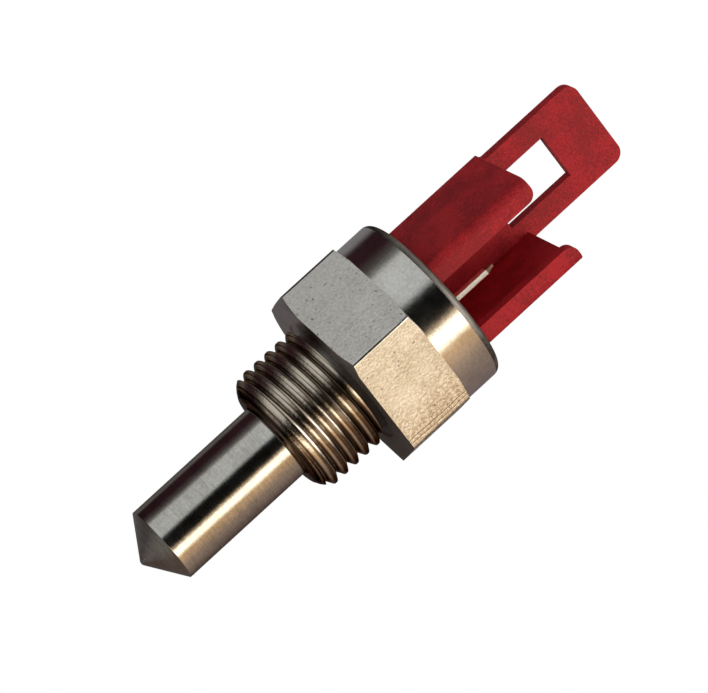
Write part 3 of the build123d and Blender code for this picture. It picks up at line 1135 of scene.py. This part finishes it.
# %% Outline shapes
def from_outline(name, points, low, high, across="Z"):
    """A flat outline in millimetres, extruded along one axis. The points give the other two, in order."""
    deselect_all()
    bpy.ops.mesh.primitive_circle_add(vertices=len(points), radius=MM, fill_type="NGON")
    piece = bpy.context.object
    piece.name = name
    axis = "XYZ".index(across)
    for vertex, point in zip(piece.data.vertices, points):
        corner = list(point)
        corner.insert(axis, low)
        vertex.co = Vector(corner) * MM
    step = [0, 0, 0]
    step[axis] = (high - low) * MM
    bpy.ops.object.mode_set(mode="EDIT")
    bpy.ops.mesh.select_all(action="SELECT")
    bpy.ops.mesh.extrude_region_move(TRANSFORM_OT_translate={"value": step})
    bpy.ops.mesh.select_all(action="SELECT")
    bpy.ops.mesh.normals_make_consistent(inside=False)
    bpy.ops.object.mode_set(mode="OBJECT")
    return piece


def block(name, low, high):
    """A rectangular block between two corners in millimetres."""
    corners = [(low[0], low[1]), (high[0], low[1]), (high[0], high[1]), (low[0], high[1])]
    return from_outline(name, corners, low[2], high[2])


half_width = 3.9
front_y = -4.05
back_y = 4.3
shroud_top_z = 18.23
floor_top_z = rim_z - 0.5
side_wall = 0.95
front_wall = 0.9
back_wall = 0.9
half_gap = 2.24
front_round = 0.75
inner_x = half_width - side_wall

right_half = (
    [(inner_x, back_y - back_wall), (inner_x, front_y + front_wall), (half_gap, front_y + front_wall)]
    + [(half_gap, front_y)]
    + round_corner(half_width - front_round, front_y + front_round, front_round, -90, 0)
    + [(half_width, back_y)]
)
plan = right_half + [(-x, y) for x, y in reversed(right_half)]
plug = from_outline("red_plug", plan, floor_top_z - 0.3, shroud_top_z)

lip_round = 0.8
for side in (1, -1):
    corner = [(half_gap - 0.2, shroud_top_z + 0.2), (half_gap - 0.2, shroud_top_z - lip_round)]
    corner += round_corner(half_gap + lip_round, shroud_top_z - lip_round, lip_round, 180, 90, 10)
    corner += [(half_gap + lip_round, shroud_top_z + 0.2)]
    corner = [(side * x, z) for x, z in corner]
    notch = from_outline("lip_notch", corner, front_y - 0.2, front_y + front_wall + 0.03, "Y")
    combine(plug, notch, "DIFFERENCE")

low_wall_z = 17.77
slope = [(-2.6, shroud_top_z + 0.2), (-2.5, shroud_top_z), (-2.3, 18.17), (-2.05, 17.95), (-1.8, 17.81)]
dip = slope + [(-1.6, low_wall_z), (back_y + 0.2, low_wall_z), (back_y + 0.2, shroud_top_z + 0.2)]
low_wall = from_outline("low_wall", dip, inner_x - 0.1, half_width + 0.1, "X")
combine(plug, low_wall, "DIFFERENCE")

loop_half = 3.55
loop_round = 0.9
root_round = 0.35
loop_outline = []
for side, root_z in ((1, low_wall_z), (-1, shroud_top_z)):
    edge = [(half_width, floor_top_z - 0.2)]
    edge += round_corner(loop_half + root_round, root_z + root_round, root_round, -90, -180, 5)
    edge += round_corner(loop_half - loop_round, loop_top_z - loop_round, loop_round, 0, 90, 8)
    loop_outline += [(side * x, z) for x, z in (edge if side > 0 else reversed(edge))]
loop = from_outline("loop", loop_outline, back_y - back_wall, back_y, "Y")
combine(plug, loop, "UNION")
window_half = 1.835
window = block(
    "window", (-window_half, back_y - back_wall - 0.5, 16.95), (window_half, back_y + 0.5, 22.68)
)
combine(plug, window, "DIFFERENCE")
bpy.ops.object.mode_set(mode="EDIT")
bpy.ops.mesh.select_all(action="SELECT")
bpy.ops.mesh.dissolve_limited(angle_limit=math.radians(1))
bpy.ops.object.mode_set(mode="OBJECT")
weld(plug, weld_before_bevel)
soften_edges(plug, 0.07, angle=32, segments=3)

flange = turned(
    "flange",
    [(4.4, 3.2), (4.6, 3.4), (4.6, 6.05), (6.2, 6.05), (6.3, 6.15)]
    + [(6.3, floor_top_z - 0.1), (6.2, floor_top_z)],
    128,
)
combine(plug, flange, "UNION")
for side in (1, -1):
    middle = side * (pin_low.x + pin_high.x) / 2 / MM
    slot_half_x = (pin_high.x - pin_low.x) / 2 / MM
    slot_half_y = (pin_high.y - pin_low.y) / 2 / MM
    opening = block(
        "pin_slot",
        (middle - slot_half_x, -slot_half_y, 3.0),
        (middle + slot_half_x, slot_half_y, floor_top_z + 0.3),
    )
    combine(plug, opening, "DIFFERENCE")
weld(plug, weld_after_cuts)
smooth(plug, 35)
plug.data.materials.append(red_plastic)
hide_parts("connector_housing")
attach(plug, "root")
print("plug:", len(plug.data.vertices), "points")

# %% [markdown]
# ## Tinned pins
# The two pins are stamped from brass strip and dipped in tin. Tin is bright and slightly yellow-white, with
# soft ripples where it froze. Each pin is a flat bar with a slightly crowned front, because the blanking
# tool rounds that side. Its end is coined to a long blunt point, painted a dull brown as painted shade.


# %% Tin
def bright_finish(name, light, dark, rough, metal, grain_mm, depth):
    """A plain small-part finish: two tones, a grain of a real size in colour and bump."""
    material, tree = new_finish(name)
    spot = add_node(tree, "ShaderNodeTexCoord")
    grain = add_node(
        tree,
        "ShaderNodeTexNoise",
        inputs={"Vector": (spot, "Object"), "Scale": 1 / (grain_mm * MM), "Detail": 3.0},
    )
    tone = add_node(tree, "ShaderNodeValToRGB", inputs={"Fac": (grain, "Fac")})
    set_ramp(tone, [(0.35, colour(dark)), (0.65, colour(light))])
    wear = add_node(
        tree,
        "ShaderNodeMapRange",
        inputs={
            "Value": (grain, "Fac"),
            "From Min": 0.3,
            "From Max": 0.7,
            "To Min": rough * 0.8,
            "To Max": rough * 1.2,
        },
    )
    ripple = add_node(
        tree, "ShaderNodeBump", inputs={"Height": (grain, "Fac"), "Strength": 1.0, "Distance": depth * MM}
    )
    surface = add_node(
        tree,
        "ShaderNodeBsdfPrincipled",
        inputs={
            "Base Color": (tone, "Color"),
            "Metallic": metal,
            "Roughness": (wear, "Result"),
            "Normal": (ripple, "Normal"),
        },
    )
    add_node(tree, "ShaderNodeOutputMaterial", inputs={"Surface": (surface, 0)})
    return material


tin = bright_finish("tin_on_brass", "fdf8f0", "f1e9dc", 0.42, 1.0, 0.15, 0.03)
# the pin's coined end gets a dull brown that is painted shade
pin_tip_shade = bright_finish("pin_tip_shade", "a07c62", "7d5f4a", 0.5, 1.0, 0.12, 0.003)
taper_length = 0.65
taper_share = 0.4
for name in ("right", "left"):
    low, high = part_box("terminal_" + name)
    left, right, front, back = low.x / MM, high.x / MM, low.y / MM, high.y / MM
    section = [(right, front + 0.03), (right - 0.03, front)]
    section += [(left + 0.04, front + 0.04), (left, front + 0.1)]
    section += [(left, back - 0.08), (left + 0.08, back), (right - 0.08, back), (right, back - 0.08)]
    pin = from_outline("pin_" + name, section[::-1], low.z / MM, pin_top_z - taper_length)
    edit_only(pin, "FACE", lambda face: face.normal.z > 0.9)
    middle = ((left + right) / 2 * MM, (front + back) / 2 * MM, high.z)
    bpy.ops.mesh.extrude_region_move(TRANSFORM_OT_translate={"value": (0, 0, taper_length * MM)})
    bpy.ops.transform.resize(value=(taper_share, taper_share, 1), center_override=middle)
    bpy.ops.object.mode_set(mode="OBJECT")
    weld(pin, weld_before_bevel)
    soften_edges(pin, 0.02, angle=40)
    weld(pin, weld_after_cuts)
    smooth(pin)
    pin.data.materials.append(tin)
    pin.data.materials.append(pin_tip_shade)
    for face in pin.data.polygons:
        face.material_index = int(face.center.z / MM > pin_top_z - taper_length + 0.02)
    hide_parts("terminal_" + name)
    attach(pin, "root")

# %% [markdown]
# ## The pieces inside
# The CAD model already has the right shapes for the sealed pieces, so they stay as they are and only get
# their finish: rubber, resin, solder, ceramic, wire, and the thin plastic tubes.

# %% Finishes of the inner pieces
inner_finishes = {
    "rubber_seal": bright_finish("nitrile_rubber", "2a2a2b", "1b1b1c", 0.6, 0.0, 0.3, 0.004),
    "ntc_ceramic": bright_finish("oxide_ceramic", "4a4744", "34312f", 0.65, 0.0, 0.1, 0.004),
    "silver_film": bright_finish("fired_silver", "d8d6d0", "bdbab2", 0.4, 1.0, 0.08, 0.002),
    "solder": bright_finish("tin_solder", "b9b9b8", "9a9a99", 0.28, 1.0, 0.2, 0.004),
    "bead_resin": bright_finish("black_epoxy", "1d1c20", "121114", 0.22, 0.0, 0.6, 0.004),
    "tinned_copper": bright_finish("tinned_copper", "d9cdbb", "c2ae95", 0.25, 1.0, 0.15, 0.001),
    "sleeve_plastic": bright_finish("ptfe_tube", "ece9e0", "dcd8cc", 0.45, 0.0, 0.5, 0.002),
    "liner_plastic": bright_finish("polyimide_tube", "b9752a", "9a5c1c", 0.3, 0.0, 0.8, 0.002),
    "thermal_paste": bright_finish("filled_silicone", "e2e1dd", "cfcec9", 0.55, 0.0, 0.3, 0.01),
    "potting_resin": bright_finish("dark_epoxy", "2b2522", "1d1917", 0.3, 0.0, 0.7, 0.004),
}
slot_of = {entry["node"]: entry["material_slot"] for entry in frame["record"]["subparts"]}
for node_name, node in frame["nodes"].items():
    finish = inner_finishes.get(slot_of[node_name])
    if finish:
        node.data.materials.clear()
        node.data.materials.append(finish)
print("inner pieces:", sum(slot_of[n] in inner_finishes for n in frame["nodes"]))
